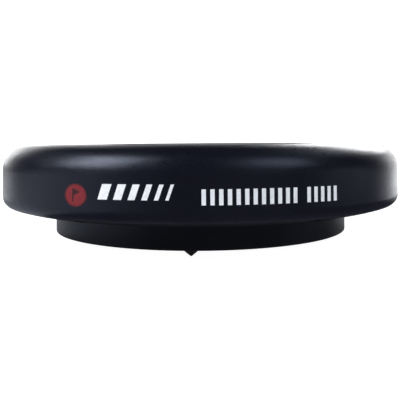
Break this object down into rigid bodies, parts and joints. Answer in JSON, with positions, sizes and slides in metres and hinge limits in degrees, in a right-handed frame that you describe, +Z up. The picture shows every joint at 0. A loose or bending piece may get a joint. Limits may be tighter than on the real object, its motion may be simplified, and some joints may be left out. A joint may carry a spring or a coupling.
{
  "type": "golf practice cup",
  "caption": "Low round golf practice cup: rounded black collar on a smaller drum, with an open hole-sized cup and pointed grip studs underneath.",
  "frame": {"origin": "on the cup's axis, in the plane of the stud tips that the cup stands on", "axes": "+Z up along the cup's axis, out of the cup's mouth; -Y is the printed side of the collar; +X to the right seen from that side"},
  "size_m": [0.15, 0.15, 0.0347],
  "materials": {
    "collar_plastic": "satin",
    "drum_plastic": "satin",
    "zinc_steel": "satin",
    "ballast_steel": "matt",
    "stud_plastic": "satin",
    "foam": "matt",
    "felt": "matt"
  },
  "bodies": {
    "root": {"top_collar": "collar_plastic", "cup_drum": "drum_plastic", "underside_ring": "drum_plastic", "collar_screws": "zinc_steel", "ballast_ring": "ballast_steel", "lower_foam_ring": "foam", "upper_foam_ring": "foam", "floor_pad": "felt", "grip_stud_1": "stud_plastic", "grip_stud_2": "stud_plastic", "grip_stud_3": "stud_plastic", "grip_stud_4": "stud_plastic"}
  },
  "joints": []
}
